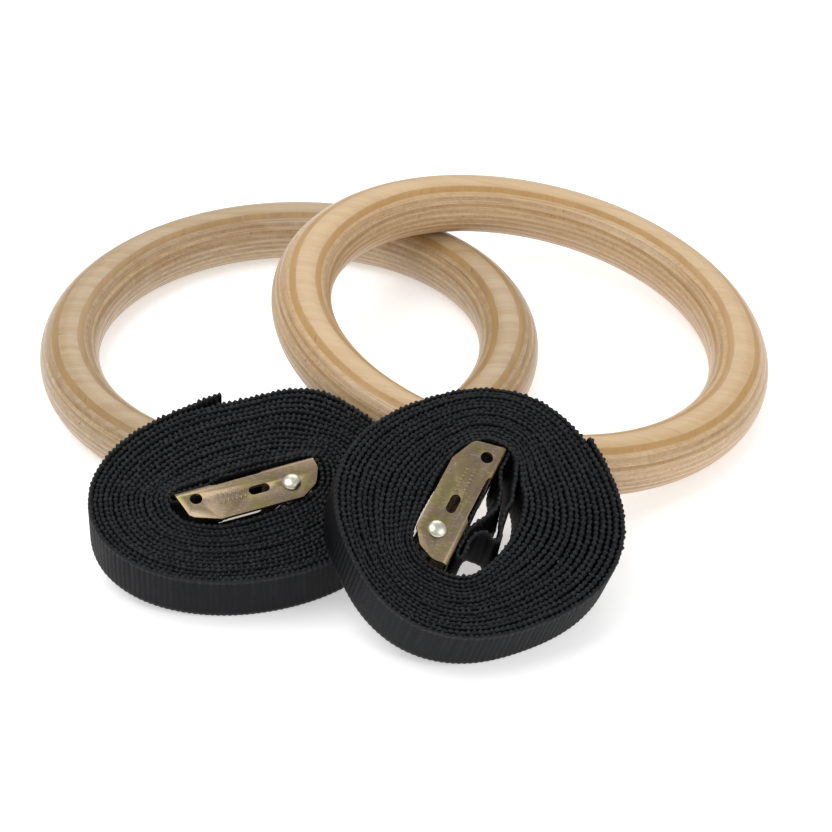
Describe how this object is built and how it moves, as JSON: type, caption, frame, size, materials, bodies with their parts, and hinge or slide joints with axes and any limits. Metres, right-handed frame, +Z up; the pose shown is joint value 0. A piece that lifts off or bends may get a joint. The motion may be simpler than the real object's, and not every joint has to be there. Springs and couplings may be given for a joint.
{
  "type": "gymnastics rings",
  "caption": "Pair of round wooden gymnastics rings with two wound black webbing straps, each with a spring-loaded metal cam buckle at its core.",
  "frame": {"origin": "on the floor, under the middle of the whole set's box", "axes": "+Z up; the left ring lies flat and the right ring leans on it towards +X; the straps lie towards -Y, the side the picture is taken from"},
  "size_m": [0.3448, 0.3536, 0.0796],
  "materials": {
    "birch_plywood": "clear satin lacquer on turned birch plywood, layers showing as bands",
    "black_webbing": "matt black ribbed polypropylene webbing with knobby selvedge",
    "black_thread": "bonded polyester thread",
    "yellow_zinc_steel": "yellow passivated zinc plate with a faint pink and green sheen",
    "white_zinc_steel": "bright zinc plate",
    "spring_steel": "drawn spring wire"
  },
  "bodies": {
    "left_ring": {"left_ring": "birch_plywood"},
    "right_ring": {"right_ring": "birch_plywood"},
    "left_strap": {"left_strap_coil": "black_webbing", "left_strap_tail": "black_webbing", "left_strap_loop": "black_webbing", "left_loop_stitching": "black_thread", "left_buckle_frame": "yellow_zinc_steel", "left_cam_pin": "white_zinc_steel", "left_cam_spring": "spring_steel"},
    "left_lever": {"left_cam_lever": "white_zinc_steel"},
    "right_strap": {"right_strap_coil": "black_webbing", "right_strap_tail": "black_webbing", "right_strap_loop": "black_webbing", "right_loop_stitching": "black_thread", "right_buckle_frame": "yellow_zinc_steel", "right_cam_pin": "white_zinc_steel", "right_cam_spring": "spring_steel"},
    "right_lever": {"right_cam_lever": "white_zinc_steel"}
  },
  "joints": [
    {"name": "left_strap_lift", "type": "slide", "parent": "left_ring", "child": "left_strap", "axis": [0, 0, 1], "range_m": [0, 0.15]},
    {"name": "right_ring_lift", "type": "slide", "parent": "left_strap", "child": "right_ring", "axis": [0, 0, 1], "range_m": [0, 0.15]},
    {"name": "right_strap_lift", "type": "slide", "parent": "right_ring", "child": "right_strap", "axis": [0.1841, -0.4439, 0.877], "range_m": [0, 0.15]},
    {"name": "left_lever_press", "type": "hinge", "parent": "left_strap", "child": "left_lever", "pos_m": [-0.04841, -0.08807, 0.02986], "axis": [-0.0412, 0.3415, -0.939], "range_deg": [0, 18], "stiffness_Nm_per_rad": 0.12, "springref_deg": -28.65, "deforming": ["left_cam_spring"]},
    {"name": "right_lever_press", "type": "hinge", "parent": "right_strap", "child": "right_lever", "pos_m": [0.01193, -0.12964, 0.03779], "axis": [-0.1841, 0.4439, -0.877], "range_deg": [0, 18], "stiffness_Nm_per_rad": 0.12, "springref_deg": -28.65, "deforming": ["right_cam_spring"]}
  ]
}
